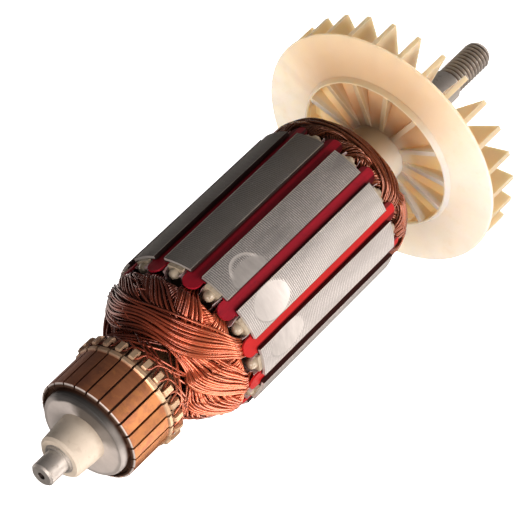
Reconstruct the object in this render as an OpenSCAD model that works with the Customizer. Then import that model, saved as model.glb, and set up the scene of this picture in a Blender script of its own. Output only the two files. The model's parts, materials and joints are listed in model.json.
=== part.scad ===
// Motor armature: rotor of a small universal motor for a hand tool.
// X runs along the shaft from the commutator end to the threaded end, Z is up.
// The origin is the middle of the commutator-end bearing journal.

/* [Output] */
// Which node to draw

/* [Shaft] */
// Diameter of the commutator-end bearing journal
tail_journal_d = 5; // [4.8:0.1:5.4]
// Length of the commutator-end bearing journal
tail_journal_l = 4.6; // [4:0.1:5.2]
// Diameter of the turned collar behind that journal
tail_collar_d = 5.9; // [5.6:0.1:6.3]
// Diameter of the shaft under the insulating bush
bush_seat_d = 6.5; // [6.3:0.1:7]
// Diameter of the shaft body under the core and the fan
shaft_d = 9; // [8.6:0.1:9.4]
// Diameter of the drive-end bearing journal
drive_journal_d = 8; // [7.6:0.1:8.2]
// Diameter of the pinion seat
pinion_seat_d = 7; // [6.6:0.1:7.4]
// Major diameter of the threaded end
thread_d = 6; // [5.6:0.1:6.2]
// Chamfer at both shaft ends
shaft_chamfer = 0.4; // [0.2:0.1:0.6]
// Chamfer at the threaded tip
thread_chamfer = 1.2; // [0.6:0.1:1.6]
// Start of the drive-end journal along the shaft
drive_journal_x = 110.8; // [110.4:0.1:111.4]
// Length of the drive-end journal
drive_journal_l = 8; // [7:0.5:8.5]
// Start of the thread along the shaft
thread_x = 124.9; // [122:0.1:126]
// Length of the threaded end
thread_l = 12; // [10:0.5:14]
// Radius of the centre-drilled holes
centre_hole_r = 0.8; // [0.5:0.1:1.1]
// Depth of the centre-drilled holes
centre_hole_depth = 1.7; // [1:0.1:2.2]

/* [Insulation] */
// Outside diameter of the sleeve between shaft and core
sleeve_d = 11; // [10:0.2:11.6]
// Start of the sleeve along the shaft
sleeve_x = 26.2; // [25.6:0.1:27]
// End of the sleeve along the shaft
sleeve_end_x = 91.2; // [90:0.1:91.8]
// Front radius of the insulating bush
bush_front_r = 4.7; // [4.5:0.05:4.9]
// Rear radius of the insulating bush
bush_rear_r = 5.13; // [4.9:0.05:5.6]
// Length of the insulating bush
bush_l = 6.6; // [6:0.1:6.8]
// Bevel at the front of the bush
bush_bevel = 0.5; // [0.2:0.1:0.8]

/* [Commutator] */
// Front face of the moulded disc along the shaft
disc_x = 9.3; // [9.2:0.1:9.6]
// Edge radius of the moulded disc face
disc_r = 9.1; // [8.8:0.1:9.3]
// Number of commutator bars
bar_count = 24; // [24:1:24]
// Turn of the first bar about the shaft
bar_phase = 8.19; // [0:0.01:14.9]
// Diameter over the brush track
track_d = 22.2; // [21.8:0.1:22.4]
// Gap between bars at the brush track
bar_gap = 0.47; // [0.3:0.01:0.7]
// Inner radius of the copper bars
bar_inner_r = 8.3; // [8.2:0.1:9]
// Front end of the bars along the shaft
bar_x = 10.7; // [10.5:0.1:10.9]
// Bevel depth at the front of the bars
bar_bevel = 0.76; // [0.4:0.02:0.9]
// Length of the bars without the hooks
bar_l = 12.8; // [12.4:0.1:13.2]
// Height of the shoulder behind the brush track
shoulder_h = 0.4; // [0.2:0.05:0.6]
// Length of the shoulder behind the brush track
shoulder_l = 0.7; // [0.4:0.05:0.9]
// Width of a wire hook
hook_w = 1.06; // [0.8:0.02:1.4]
// Sheet thickness of a wire hook
hook_t = 0.6; // [0.5:0.05:0.7]
// Outer radius over the wire hooks
hook_r = 12.1; // [12:0.05:12.3]
// Clear height under a hook for the lead wire
hook_eye = 0.7; // [0.6:0.05:0.8]
// Depth of the ring groove between disc and bars
ring_groove_depth = 0.9; // [0.4:0.1:1.2]

/* [Core] */
// Diameter of the lamination core
core_d = 35; // [34.6:0.1:35.4]
// Front face of the core along the shaft
core_x = 41.3; // [41.1:0.1:41.6]
// Length of the lamination core
core_l = 41; // [40.6:0.1:41.4]
// Number of slots
slot_count = 12; // [12:1:12]
// Turn of the first slot about the shaft
slot_phase = 5.25; // [0:0.01:29.9]
// Width of a slot opening
slot_opening = 2.44; // [2.2:0.02:2.8]
// Width of a tooth below its lips
tooth_w = 3.4; // [3.3:0.1:3.6]
// Thickness of the tooth lips
lip_t = 0.85; // [0.7:0.05:0.95]
// Radius of the slot floor
slot_floor_r = 9.2; // [9:0.05:9.3]
// Depth of the balancing cuts
balance_depth = 0.35; // [0.2:0.05:0.5]
// Length of the balancing cuts
balance_l = 10.4; // [8:0.2:12]
// Middle of the balancing cuts, from the front of the core
balance_x = 7.5; // [6.5:0.1:9]

/* [End insulators] */
// Plate thickness of the end insulators
end_plate_t = 0.8; // [0.6:0.1:0.9]
// Outer radius of the end insulators
end_plate_r = 16.9; // [16.8:0.1:17.1]
// Radius of a tooth knob
knob_r = 1.15; // [0.9:0.05:1.2]
// How far a tooth knob stands off the core
knob_h = 2.3; // [1.8:0.1:2.4]
// Distance of the knobs from the shaft centre
knob_at = 15.5; // [15.4:0.05:15.6]

/* [Slot wedges] */
// Thickness of a slot wedge
wedge_t = 0.45; // [0.3:0.05:0.45]
// Clearance between a slot wedge and each slot side
wedge_fit = 0.24; // [0.2:0.02:0.4]
// Width of the tab at each end
tab_w = 3.7; // [3:0.1:4.2]
// How far the tabs stand beyond the core
tab_l = 3; // [2:0.1:3.4]

/* [Winding] */
// Number of slots a coil spans
coil_span = 5; // [5:1:5]
// Width of the lower coil side in its slot
coil_low_w = 1.9; // [1.6:0.1:2]
// Share of the slot depth that the lower coil side fills
coil_low_share = 0.512; // [0.48:0.002:0.52]
// Width of the upper coil side in its slot
coil_top_w = 3.2; // [2.8:0.1:3.3]
// Share of the slot depth that the upper coil side fills
coil_top_share = 0.351; // [0.32:0.001:0.36]
// Clearance between the upper coil side and its wedge
coil_fit = 0.23; // [0.2:0.01:0.4]
// Clearance between the lower coil side and the slot floor
floor_fit = 0.4; // [0.3:0.05:0.5]
// Length of the winding head on the commutator side
head_front_l = 13.3; // [12.8:0.1:13.5]
// Length of the winding head on the fan side
head_rear_l = 9.2; // [8.8:0.1:9.4]
// Diameter of a lead wire
lead_d = 0.55; // [0.4:0.05:0.6]

/* [Fan] */
// Number of fan blades, half of them reaching the hub
blade_count = 28; // [28:2:28]
// Turn of the first long blade about the shaft
blade_phase = 19.72; // [0:0.01:25]
// Radius of the fan hub
hub_r = 6.3; // [6:0.1:6.6]
// Front end of the hub along the shaft
hub_x = 91.8; // [91.6:0.1:92.6]
// Rear end of the hub along the shaft
hub_end_x = 108.4; // [107:0.1:109]
// Outer radius of the fan
fan_r = 27.2; // [26.8:0.1:27.6]
// Inner radius of the fan ring
fan_eye_r = 17.1; // [16.9:0.1:17.5]
// Front of the ring collar along the shaft
fan_x = 99.8; // [99.5:0.1:100.2]
// Wall thickness of ring and cone
fan_t = 1.1; // [0.9:0.1:1.3]
// Blade thickness
blade_t = 1; // [0.8:0.05:1.2]
// Rear edge of the blades along the shaft
blade_end_x = 109.15; // [108.8:0.1:109.6]

/* [Hidden] */
$fn = 72;
sides = 8;
arch_steps = 15;
journal_start = -tail_journal_l / 2;
collar_end = 2.7;
shaft_end = thread_x + thread_l;
track_r = track_d / 2;
core_r = core_d / 2;
slot_pitch = 360 / slot_count;
bar_pitch = 360 / bar_count;
gap_deg = bar_gap / track_r * 180 / PI;
bar_end = bar_x + bar_l;
rib_r = track_r - 0.8;
groove_out_r = track_r - bar_bevel;
hook_in_r = hook_r - hook_t;
hook_x = bar_x + bar_l - 0.2;
eye_x = hook_x - 0.9;
wedge_near_r = core_r - lip_t - wedge_t - 0.35;
wedge_turn = slot_pitch / 2 - asin(tooth_w / 2 / wedge_near_r);
wedge_w = 2 * wedge_near_r * sin(wedge_turn) - 2 * wedge_fit;
wedge_r = sqrt(pow(core_r - lip_t, 2) - pow(wedge_w / 2, 2)) - wedge_t - 0.02;
slot_depth = wedge_r - slot_floor_r;
coil_low_h = coil_low_share * slot_depth;
coil_top_h = coil_top_share * slot_depth;
side_top_r = wedge_r - coil_fit - coil_top_h / 2;
side_low_r = slot_floor_r + floor_fit + coil_low_h / 2;
wire_sides = 6;
pack = 0.8;
thin = 0.95;
bulge = 1.2;
eye_r = hook_in_r - hook_eye / 2;
eye_mid = bar_end - 1.2;

function two(n) = n < 10 ? str("0", n) : str(n);

// Local Z becomes the shaft direction and local X becomes +Y.
module on_axis() {
    rotate([0, 90, 0])
        rotate([0, 0, 90])
            children();
}

// Turns a list of [along, radius] points about the shaft.
module turned(points) {
    on_axis()
        rotate_extrude($fn = 144)
            polygon([for (p = points) [p[1], p[0]]]);
}

module shaft() {
    color([0.62, 0.60, 0.57])
        turned([
            [journal_start + centre_hole_depth, 0],
            [journal_start, centre_hole_r],
            [journal_start, tail_journal_d / 2 - shaft_chamfer],
            [journal_start + shaft_chamfer, tail_journal_d / 2],
            [-journal_start, tail_journal_d / 2],
            [-journal_start, tail_collar_d / 2],
            [collar_end, tail_collar_d / 2],
            [collar_end, bush_seat_d / 2],
            [disc_x, bush_seat_d / 2],
            [disc_x, shaft_d / 2],
            [drive_journal_x, shaft_d / 2],
            [drive_journal_x, drive_journal_d / 2],
            [drive_journal_x + drive_journal_l, drive_journal_d / 2],
            [drive_journal_x + drive_journal_l, pinion_seat_d / 2],
            [thread_x - 0.3, pinion_seat_d / 2],
            [thread_x, thread_d / 2],
            [shaft_end - thread_chamfer, thread_d / 2],
            [shaft_end, thread_d / 2 - thread_chamfer * 0.6],
            [shaft_end, centre_hole_r],
            [shaft_end - centre_hole_depth, 0]
        ]);
}

module shaft_insulation() {
    color([0.80, 0.72, 0.55])
        turned([
            [sleeve_x, shaft_d / 2],
            [sleeve_x, sleeve_d / 2],
            [sleeve_end_x, sleeve_d / 2],
            [sleeve_end_x, shaft_d / 2]
        ]);
}

module insulating_bush() {
    color([0.88, 0.82, 0.74])
        turned([
            [collar_end, bush_seat_d / 2],
            [disc_x - bush_l, bush_seat_d / 2],
            [disc_x - bush_l, bush_front_r - bush_bevel],
            [disc_x - bush_l + bush_bevel, bush_front_r],
            [disc_x, bush_rear_r],
            [disc_x, bush_seat_d / 2]
        ]);
}

module commutator_moulding() {
    pocket_x = bar_x + ring_groove_depth;
    color([0.55, 0.53, 0.50])
        difference() {
            turned([
                [disc_x, shaft_d / 2],
                [disc_x, disc_r],
                [disc_x + 0.25, disc_r + 0.22],
                [disc_x + 0.8, disc_r + 0.35],
                [pocket_x + 0.1, disc_r + 0.35],
                [pocket_x + 0.1, rib_r],
                [bar_end - 0.1, rib_r],
                [bar_end - 0.1, disc_r],
                [bar_end + 1.2, disc_r - 0.5],
                [bar_end + 1.2, shaft_d / 2]
            ]);
            for (i = [0 : bar_count - 1])
                on_axis()
                    rotate([0, 0, bar_phase + i * bar_pitch - (bar_pitch - gap_deg) / 2])
                        rotate_extrude(angle = bar_pitch - gap_deg, $fn = 144)
                            translate([bar_inner_r, pocket_x])
                                square([rib_r + 1 - bar_inner_r, bar_end - pocket_x]);
        }
}

module commutator_bar(i) {
    turn = bar_phase + i * bar_pitch;
    color([0.72, 0.42, 0.25])
        union() {
            on_axis()
                rotate([0, 0, turn - (bar_pitch - gap_deg) / 2])
                    rotate_extrude(angle = bar_pitch - gap_deg, $fn = 144)
                        polygon([
                            [groove_out_r, bar_x],
                            [track_r, bar_x + bar_bevel / 2],
                            [track_r, eye_x - 1.2 - shoulder_l],
                            [track_r + shoulder_h, eye_x - 0.9 - shoulder_l],
                            [track_r + shoulder_h, eye_x - 0.9],
                            [hook_in_r - hook_eye, eye_x - 0.9],
                            [hook_in_r - hook_eye, bar_end],
                            [bar_inner_r, bar_end],
                            [bar_inner_r, bar_x + ring_groove_depth],
                            [groove_out_r, bar_x + ring_groove_depth]
                        ]);
            on_axis()
                rotate([0, 0, turn])
                    rotate([90, 0, 0])
                        linear_extrude(height = hook_w, center = true)
                            polygon([
                                [bar_inner_r + 1.6, hook_x],
                                [bar_inner_r + 1.6, hook_x + 0.8],
                                [hook_r - 0.4, hook_x + 0.8],
                                [hook_r, hook_x + 0.4],
                                [hook_r, eye_x - 0.5],
                                [hook_r - 0.2, eye_x - 0.7],
                                [hook_in_r, eye_x - 0.7],
                                [hook_in_r, hook_x]
                            ]);
        }
}

// One slot opened to the outside, as a flat shape about the shaft centre.
module slot_shape(side, floor_r, top_r) {
    half = slot_pitch / 2;
    inner = half - asin((tooth_w / 2 + side) / floor_r);
    outer = half - asin((tooth_w / 2 + side) / top_r);
    intersection() {
        difference() {
            circle(r = top_r, $fn = 144);
            circle(r = floor_r, $fn = 144);
        }
        polygon([
            floor_r * 0.985 * [cos(inner), -sin(inner)],
            top_r * 1.03 * [cos(outer), -sin(outer)],
            top_r * 1.03 * [cos(outer), sin(outer)],
            floor_r * 0.985 * [cos(inner), sin(inner)]
        ]);
    }
}

module lamination_core() {
    color([0.52, 0.51, 0.49])
        difference() {
            translate([core_x, 0, 0])
                on_axis()
                    linear_extrude(height = core_l)
                        difference() {
                            circle(r = core_r, $fn = 144);
                            circle(r = sleeve_d / 2, $fn = 144);
                            for (i = [0 : slot_count - 1])
                                rotate(slot_phase + i * slot_pitch) {
                                    slot_shape(0, slot_floor_r, core_r - lip_t);
                                    translate([core_r - lip_t - 1, -slot_opening / 2])
                                        square([lip_t + 2, slot_opening]);
                                }
                        }
            balance_cut(3, 7.4, balance_depth * 0.6);
            balance_cut(4, 0, balance_depth);
            balance_cut(5, -2, balance_depth * 0.9);
        }
}

// A shallow milled scoop across tooth k, made when the rotor was balanced.
module balance_cut(k, turn, deep) {
    cutter_r = pow(balance_l / 2, 2) / (2 * deep);
    translate([core_x + balance_x, 0, 0])
        on_axis()
            rotate([0, 0, slot_phase + (k + 0.5) * slot_pitch + turn])
                translate([core_r - deep + cutter_r, 0, 0])
                    rotate([90, 0, 0])
                        cylinder(r = cutter_r, h = 9, center = true, $fn = 180);
}

module end_insulator(face, out) {
    color([0.86, 0.82, 0.68])
        translate([face, 0, 0])
            mirror([out < 0 ? 1 : 0, 0, 0])
                union() {
                    on_axis()
                        linear_extrude(height = end_plate_t)
                            difference() {
                                circle(r = end_plate_r, $fn = 144);
                                circle(r = sleeve_d / 2, $fn = 144);
                                for (i = [0 : slot_count - 1])
                                    rotate(slot_phase + i * slot_pitch)
                                        slot_shape(0, slot_floor_r, end_plate_r + 2);
                            }
                    for (i = [0 : slot_count - 1])
                        on_axis()
                            rotate([0, 0, slot_phase + (i + 0.5) * slot_pitch])
                                translate([knob_at, 0, 0])
                                    rotate_extrude($fn = 24)
                                        intersection() {
                                            union() {
                                                square([knob_r, knob_h - knob_r]);
                                                translate([0, knob_h - knob_r])
                                                    circle(r = knob_r, $fn = 24);
                                            }
                                            square([knob_r + 1, knob_h + 1]);
                                        }
                }
}

module slot_wedge(i) {
    color([0.72, 0.10, 0.12])
        translate([core_x, 0, 0])
            on_axis()
                rotate([0, 0, slot_phase + i * slot_pitch])
                    translate([wedge_r, 0, 0])
                        rotate([90, 0, 90])
                            linear_extrude(height = wedge_t)
                                union() {
                                    translate([-wedge_w / 2, 0])
                                        square([wedge_w, core_l]);
                                    tab(-tab_l);
                                    translate([0, core_l])
                                        mirror([0, 1])
                                            tab(-tab_l);
                                }
}

module tab(reach) {
    bend = tab_w / 2;
    translate([-tab_w / 2, reach + bend])
        square([tab_w, -reach - bend + 0.5]);
    translate([0, reach + bend])
        circle(r = bend, $fn = 32);
}

// Bezier curve through a list of [along, radius, angle] control values.
function bez(p, t) = len(p) == 1 ? p[0]
    : bez([for (i = [0 : len(p) - 2]) p[i] * (1 - t) + p[i + 1] * t], t);
function place(p) = [p[1] * cos(p[2]), p[1] * sin(p[2]), p[0]];
function unit(v) = v / norm(v);
function mix(a, b, t) = a + (b - a) * t;

// Head curve from the lower side of a coil to its upper side.
// s is -1 on the commutator side and 1 on the fan side, and l is the head's length.
// The other values are shares of l, of the side radii and of the coil's span.
function head(s, l, leave, dip, reach, far, crest, crest_turn, back, rise, back_turn) = let (
        x0 = s < 0 ? core_x : core_x + core_l,
        end = coil_span * slot_pitch
    ) [
        [x0 + s * (end_plate_t + 0.9), side_low_r, 0],
        [x0 + s * l * leave, side_low_r, 0],
        [x0 + s * l * 0.62, side_low_r * dip, end * 0.15],
        [x0 + s * l * reach, side_low_r * dip, end * 0.6],
        [x0 + s * l * far, side_top_r * crest, end * crest_turn],
        [x0 + s * l * back, side_top_r + l * rise, end * back_turn],
        [x0 + s * l * 0.26, side_top_r, end],
        [x0 + s * (end_plate_t + 0.4), side_top_r, end]
    ];

head_front = head(-1, head_front_l, 0.202, 0.476, 1.112, 1.323, 0.472, 0.3, 0.729, 0.111, 0.853);
head_rear = head(1, head_rear_l, 0.216, 0.291, 0.928, 1.271, 1.155, 0.543, 0.9, 0.27, 0.966);

// Section width and height along a head, from lower side to upper side.
function wide(t) = mix(coil_low_w, coil_top_w, t) + bulge * sin(180 * t);
function tall(t) = mix(coil_low_h, coil_top_h, t) - thin * sin(180 * t);

// The width is held below the distance to the neighbouring coil.
function ring(p, q, w, h) = let (
        a = place(p), b = place(q), run = unit(b - a),
        d = [q[0] - p[0], q[1] - p[1]], n = d / norm(d), ang = (p[2] + q[2]) / 2,
        up = [-n[0] * cos(ang), -n[0] * sin(ang), n[1]],
        apart = (p[1] + q[1]) / 2 * slot_pitch * PI / 180 * norm(d) / norm(b - a),
        side = unit(cross(run, up)), mid = (a + b) / 2, wd = min(w, apart * pack)
    ) [for (j = [0 : sides - 1]) let (g = 360 / sides * (j + 0.5))
        mid + side * (wd * 0.54 * cos(g)) + up * (h * 0.54 * sin(g))];

// A round wire section at p, looking toward q.
function wire_ring(p, q) = let (
        a = place(p), b = place(q), run = unit(b - a), ang = (p[2] + q[2]) / 2,
        side = unit(cross(run, [cos(ang), sin(ang), 0])), up = cross(side, run)
    ) [for (j = [0 : wire_sides - 1]) let (g = 360 / wire_sides * j)
        (a + b) / 2 + (side * cos(g) + up * sin(g)) * lead_d / 2];

// Rings of one closed coil.
function coil_rings() = concat(
    [for (i = [0 : arch_steps]) let (t = i / arch_steps, e = 0.004)
        ring(bez(head_front, max(0, t - e)), bez(head_front, min(1, t + e)), wide(t), tall(t))],
    [for (i = [0 : arch_steps]) let (t = 1 - i / arch_steps, e = 0.004)
        ring(bez(head_rear, min(1, t + e)), bez(head_rear, max(0, t - e)), wide(t), tall(t))]
);

module tube_of(rings, closed) {
    n = len(rings);
    m = len(rings[0]);
    points = [for (r = rings) for (p = r) p];
    last = closed ? n - 1 : n - 2;
    skin = [for (i = [0 : last]) for (j = [0 : m - 1]) for (k = [0, 1]) let (
            a = i * m + j, b = i * m + (j + 1) % m,
            c = ((i + 1) % n) * m + (j + 1) % m, d = ((i + 1) % n) * m + j
        ) k == 0 ? [a, b, c] : [a, c, d]];
    caps = closed ? [] : [
        [for (j = [0 : m - 1]) m - 1 - j],
        [for (j = [0 : m - 1]) (n - 1) * m + j]
    ];
    polyhedron(points = points, faces = concat(skin, caps), convexity = 8);
}

// Lead wire from the head of a coil through the eye of a hook.
// at is the hook's angle from the coil's lower slot.
function lead_path(at, from) = let (
        s = bez(head_front, from), g = at + bar_pitch / 2
    ) concat(
        [for (i = [0 : 5]) bez([s, [s[0] - 2.4, s[1] + 0.4, mix(s[2], g, 0.5)],
            [bar_end + 1.9, eye_r, g], [bar_end + 0.2, eye_r, g]], i / 5)],
        [for (i = [1 : 4]) bez([[bar_end + 0.1, eye_r, g], [eye_mid, eye_r, g],
            [eye_mid, eye_r, at - 3.6]], i / 4)]
    );

module lead(at, from) {
    p = lead_path(at, from);
    n = len(p) - 1;
    tube_of([for (i = [0 : n]) wire_ring(i == 0 ? p[0] : mix(p[i - 1], p[i], 0.5),
        i == n ? p[n] : mix(p[i], p[i + 1], 0.5))], false);
}

module coil(k) {
    first = bar_phase - slot_phase + bar_pitch * 3;
    color([0.70, 0.32, 0.18])
        on_axis()
            rotate([0, 0, slot_phase + k * slot_pitch])
                union() {
                    tube_of(coil_rings(), true);
                    lead(first, 0.45);
                    lead(first + bar_pitch, 0.52);
                }
}

module fan() {
    cone_x = 100.8;
    cone_end_x = 103.1;
    ring_x = fan_x + 1.2;
    color([0.90, 0.82, 0.68])
        union() {
            turned([
                [hub_x, shaft_d / 2],
                [hub_x, hub_r - 0.3],
                [hub_x + 0.3, hub_r],
                [cone_x, hub_r],
                [cone_end_x, fan_eye_r - 0.3],
                [cone_end_x + fan_t * 0.8, fan_eye_r - 0.3],
                [cone_x + fan_t * 1.6, hub_r + 1],
                [hub_end_x, hub_r],
                [hub_end_x, shaft_d / 2]
            ]);
            turned([
                [fan_x, fan_eye_r],
                [ring_x, fan_eye_r + 0.66],
                [ring_x + 0.6, fan_r - 0.2],
                [ring_x + 0.8, fan_r],
                [ring_x + 1, fan_r],
                [ring_x + 1.3, fan_r - 0.3],
                [ring_x + fan_t, fan_eye_r + 0.2],
                [fan_x + 0.2, fan_eye_r - 0.25]
            ]);
            for (i = [0 : blade_count - 1])
                on_axis()
                    rotate([0, 0, blade_phase + i * 360 / blade_count])
                        rotate([90, 0, 0])
                            linear_extrude(height = blade_t, center = true)
                                blade_shape(i % 2 == 0, cone_x, cone_end_x, ring_x);
        }
}

module blade_shape(long, cone_x, cone_end_x, ring_x) {
    polygon([
        [fan_eye_r - 0.1, ring_x + 0.2],
        [fan_r - 0.3, ring_x + 0.8],
        [fan_r - 0.2, blade_end_x],
        [fan_eye_r + 1.2, blade_end_x],
        [fan_eye_r - 0.1, cone_end_x + 2]
    ]);
    if (long)
        polygon([
            [shaft_d / 2 + 1, cone_x],
            [fan_eye_r, fan_x + 0.1],
            [fan_eye_r + 0.3, ring_x + 0.3],
            [fan_eye_r + 0.3, cone_end_x + 2],
            [fan_eye_r - 0.6, cone_end_x + 0.3],
            [shaft_d / 2 + 1, cone_x + fan_t * 0.9]
        ]);
}

shaft();
shaft_insulation();
lamination_core();
end_insulator(core_x, -1);  // end_insulator_commutator_side
end_insulator(core_x + core_l, 1);  // end_insulator_fan_side
for (i = [0 : slot_count - 1])
    slot_wedge(i);
for (i = [0 : slot_count - 1])
    coil(i);
commutator_moulding();
insulating_bush();
fan();
for (i = [0 : bar_count - 1])
    commutator_bar(i);
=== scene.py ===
"""Motor armature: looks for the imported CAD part, built around its frame."""
import json
import math
import bmesh
import bpy
import numpy as np
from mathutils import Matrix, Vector


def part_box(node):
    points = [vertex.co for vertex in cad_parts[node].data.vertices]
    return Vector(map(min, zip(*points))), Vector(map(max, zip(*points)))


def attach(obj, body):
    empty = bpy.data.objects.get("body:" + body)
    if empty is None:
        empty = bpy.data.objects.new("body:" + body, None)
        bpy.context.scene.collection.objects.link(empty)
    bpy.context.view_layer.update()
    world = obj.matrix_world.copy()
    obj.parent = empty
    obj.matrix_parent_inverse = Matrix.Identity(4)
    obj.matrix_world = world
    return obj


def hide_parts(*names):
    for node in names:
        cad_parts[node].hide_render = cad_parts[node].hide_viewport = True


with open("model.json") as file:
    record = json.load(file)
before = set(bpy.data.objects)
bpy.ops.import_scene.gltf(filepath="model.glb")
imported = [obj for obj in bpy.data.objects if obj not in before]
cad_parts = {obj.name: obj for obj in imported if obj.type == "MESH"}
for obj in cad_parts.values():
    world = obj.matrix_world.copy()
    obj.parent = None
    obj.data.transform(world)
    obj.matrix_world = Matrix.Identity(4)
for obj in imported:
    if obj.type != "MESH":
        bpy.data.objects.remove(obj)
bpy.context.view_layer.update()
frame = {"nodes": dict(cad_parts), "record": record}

MM = 0.001
nodes = frame["nodes"]


# ---------------------------------------------------------------- sizes, in mm and radians
def span(node, axis=0):
    """A node's lowest and highest place along one axis."""
    low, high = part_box(node)
    return low[axis] / MM, high[axis] / MM


def turn_of(node):
    """Angle of a node's middle about the shaft, from +Y toward +Z."""
    low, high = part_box(node)
    return math.atan2(low[2] + high[2], low[1] + high[1])


core_front, core_back = span("lamination_core")
core_r = span("lamination_core", 2)[1]
disc_front = span("commutator_moulding")[0]
bar_front, bar_back = span("commutator_bar_01")
tail_x, shaft_tip = span("shaft")
slot_turn = turn_of("slot_wedge_01")
bar_turn = turn_of("commutator_bar_01")

SLOTS = 12
SLOT_STEP = 2 * math.pi / SLOTS
SPAN_SLOTS = 5        # slots from a coil's first side to its second
COIL_SPAN = SPAN_SLOTS * SLOT_STEP
LIP_EDGE = 1.22       # half the slot's opening between the tooth lips
TOOTH_HALF = 1.7

BARS = 24
BAR_STEP = 2 * math.pi / BARS
DISC_R = 9.1
TRACK_R = 11.1        # where brushes run on the bars
TRACK_END = 20.3

FAN_EYE_R = 17.1      # opening of the fan's ring
BLADE_FRONT = 100.9   # front edges of the blades in that opening
RING_BACK = 101.75    # just behind the ring's front face

TAIL_R = 2.5
COLLAR_END = 2.7
COLLAR_R = 2.95
SEAT_R = 3.25
BODY_R = 4.5
DRIVE_X = 110.8
DRIVE_L = 8.0
DRIVE_END = DRIVE_X + DRIVE_L
DRIVE_R = 4.0
PINION_R = 3.5
THREAD_L = 12.0
THREAD_NECK = 0.3     # cone between the pinion's seat and the thread
THREAD_R = 3.0
THREAD_PITCH = 1.0
THREAD_DEPTH = 0.62
TIP_CHAMFER = 1.2
CHAMFER_SLOPE = 0.6   # radius lost for each mm of the tip's chamfer
CENTRE_R = 0.8        # the hole in each end of the shaft
CENTRE_DEPTH = 1.7
EDGE = 0.4            # bevel at the plain end
thread_start = shaft_tip - THREAD_L


# ---------------------------------------------------------------- shader maths
def operator(operation, swapped=False):
    """A Python operator that adds one maths node; swapped puts the other value first."""
    def method(self, other):
        pair = (other, self) if swapped else (self, other)
        return self.maths(operation, *pair)
    return method


class Value:
    """A socket in a shader tree, or what arithmetic on sockets makes."""

    def __init__(self, tree, out):
        self.tree = tree
        self.out = out

    def node(self, kind, inputs=(), out=0, **settings):
        """Adds a node of any kind; inputs maps a socket name or number to a value."""
        made = self.tree.nodes.new(kind)
        for key, setting in settings.items():
            setattr(made, key, setting)
        for key, value in dict(inputs).items():
            plug(self.tree, made.inputs[key], value)
        return Value(self.tree, made.outputs[out])

    def maths(self, operation, *values):
        return self.node("ShaderNodeMath", enumerate(values), operation=operation)

    def __neg__(self):
        return self.maths("SUBTRACT", 0, self)

    __add__ = operator("ADD")
    __radd__ = operator("ADD", swapped=True)
    __sub__ = operator("SUBTRACT")
    __rsub__ = operator("SUBTRACT", swapped=True)
    __mul__ = operator("MULTIPLY")
    __truediv__ = operator("DIVIDE")
    __pow__ = operator("POWER")


def plug(tree, socket, value):
    """Links a Value into a socket, or sets the socket to a plain number or colour."""
    if isinstance(value, Value):
        tree.links.new(value.out, socket)
    else:
        socket.default_value = value


def step(v, low, high):
    """0 below low, 1 above high, smooth between."""
    inputs = {"Value": v, "From Min": low, "From Max": high}
    return v.node("ShaderNodeMapRange", inputs, interpolation_type="SMOOTHSTEP")


# The colour sockets of a Mix node share their names with its other sockets, so they go by number.
MIX_FACTOR = 0
MIX_A = 6
MIX_B = 7
MIX_RESULT = 2


def mix(fac, a, b):
    """Colour mix; a and b are (red, green, blue) or colour values."""
    a, b = [c if isinstance(c, Value) else (*c, 1) for c in (a, b)]
    return fac.node("ShaderNodeMix", {MIX_FACTOR: fac, MIX_A: a, MIX_B: b}, out=MIX_RESULT, data_type="RGBA")


class Point:
    """The shaded point: x along the shaft, y, z across it, r and a about it, all in mm or radians."""

    def __init__(self, tree):
        base = Value(tree, None)
        self.base = base
        place = base.node("ShaderNodeTexCoord", out="Object")
        self.mm = base.node("ShaderNodeVectorMath", {"Vector": place, "Scale": 1 / MM}, operation="SCALE")
        self.x, self.y, self.z = [base.node("ShaderNodeSeparateXYZ", {"Vector": self.mm}, out=axis)
                                  for axis in "XYZ"]
        self.r = (self.y * self.y + self.z * self.z) ** 0.5
        self.a = base.maths("ARCTAN2", self.z, self.y)

    def at(self, x, y, z):
        return self.base.node("ShaderNodeCombineXYZ", {"X": x, "Y": y, "Z": z})

    def noise(self, scale, detail=3, rough=0.55, vec=None):
        """Noise from 0 to 1, with scale cells to a mm."""
        inputs = {"Vector": vec or self.mm, "Scale": scale, "Detail": detail, "Roughness": rough}
        return self.base.node("ShaderNodeTexNoise", inputs)

    def along(self, stretch, scale, detail=3):
        """Noise drawn out by stretch along the shaft."""
        return self.noise(scale, detail, vec=self.at(self.x / stretch, self.y, self.z))

    def around(self, lines, scale, detail=3, per_radian=0.6):
        """Noise drawn out round the shaft: lines across x, long about it."""
        return self.noise(scale, detail, vec=self.at(self.x * lines, self.r, self.a * per_radian))

    def wave(self, v, pitch):
        """A sine from 0 to 1."""
        return self.base.maths("SINE", v * (2 * math.pi / pitch)) * 0.5 + 0.5

    def near_turn(self, turn, inner, outer, ragged=0):
        """1 within inner of a direction about the shaft, 0 beyond outer; ragged moves that border."""
        return 1 - step(self.base.maths("ABSOLUTE", self.a - turn) + ragged, inner, outer)

    def beside_slot(self):
        """Distance round the core's face from the middle of the nearest slot."""
        return self.base.maths("PINGPONG", self.a - slot_turn, SLOT_STEP / 2) * core_r

    def bump(self, height, distance, strength=1.0):
        inputs = {"Height": height, "Distance": distance * MM, "Strength": strength}
        return self.base.node("ShaderNodeBump", inputs)

    def attribute(self, name):
        return self.base.node("ShaderNodeAttribute", out="Fac", attribute_name=name)


def material(name, build, **constants):
    """A Principled material: constants set its sockets, and build gives those that vary."""
    mat = bpy.data.materials.new(name)
    mat.use_nodes = True
    tree = mat.node_tree
    shader = tree.nodes["Principled BSDF"]
    for key, value in constants.items():
        shader.inputs[key.replace("_", " ")].default_value = value
    for key, value in build(Point(tree)).items():
        plug(tree, shader.inputs[key], value)
    return mat


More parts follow.
